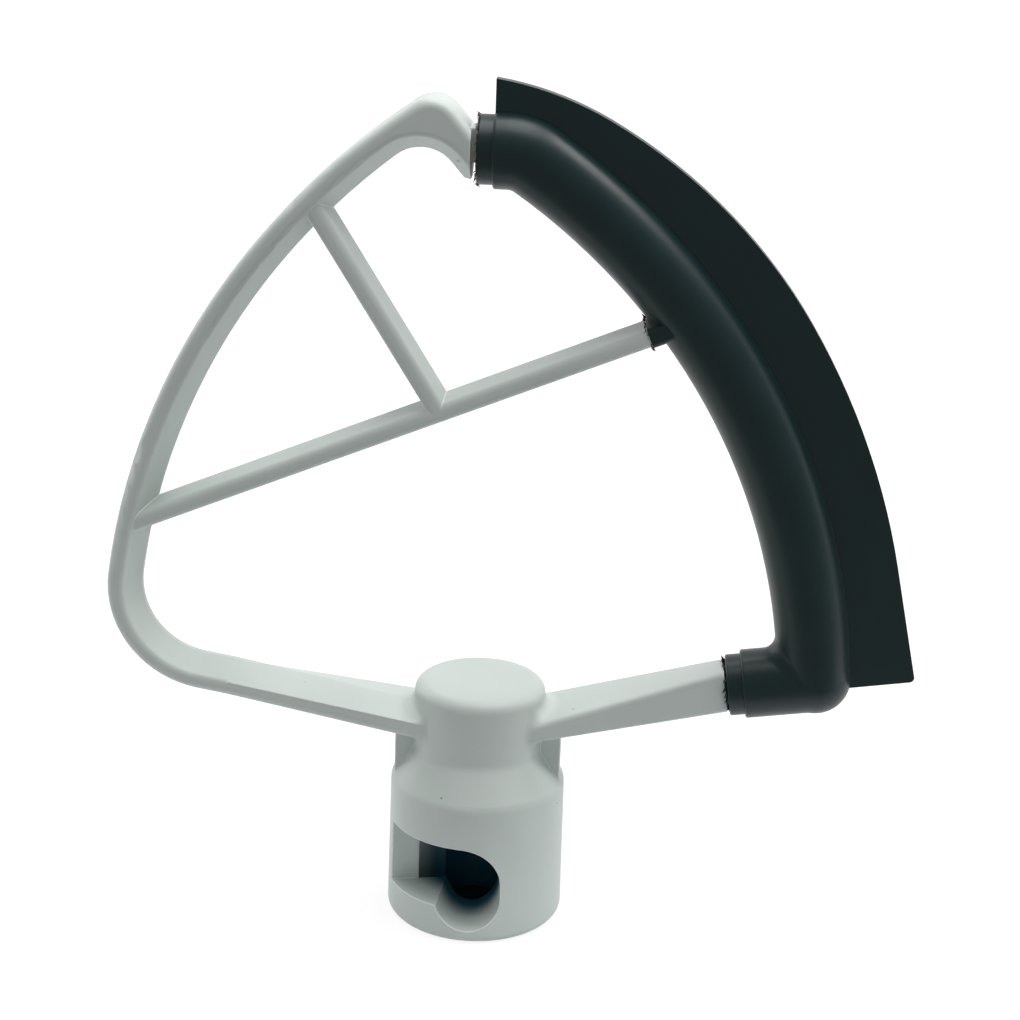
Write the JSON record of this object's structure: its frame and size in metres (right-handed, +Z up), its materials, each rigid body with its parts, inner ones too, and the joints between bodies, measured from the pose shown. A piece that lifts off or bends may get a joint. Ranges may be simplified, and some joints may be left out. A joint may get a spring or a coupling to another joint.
{
  "type": "flex-edge flat beater for a stand mixer",
  "caption": "Flat beater for a tilt-head stand mixer: coated cast frame with a bayonet hub, crossed bars and a moulded flexible scraper edge on one side.",
  "frame": {"origin": "centre of the shaft bore's mouth, on the plane of the hub's open end that the beater stands on", "axes": "+Z up the hub axis to the nose of the beater, +X towards the flexible edge, +Y away from the side the picture shows"},
  "size_m": [0.1612, 0.036, 0.1707],
  "materials": {
    "coated_casting": "satin",
    "silicone": "satin"
  },
  "bodies": {
    "root": {"beater_frame": "coated_casting", "flex_edge": "silicone"}
  },
  "joints": []
}
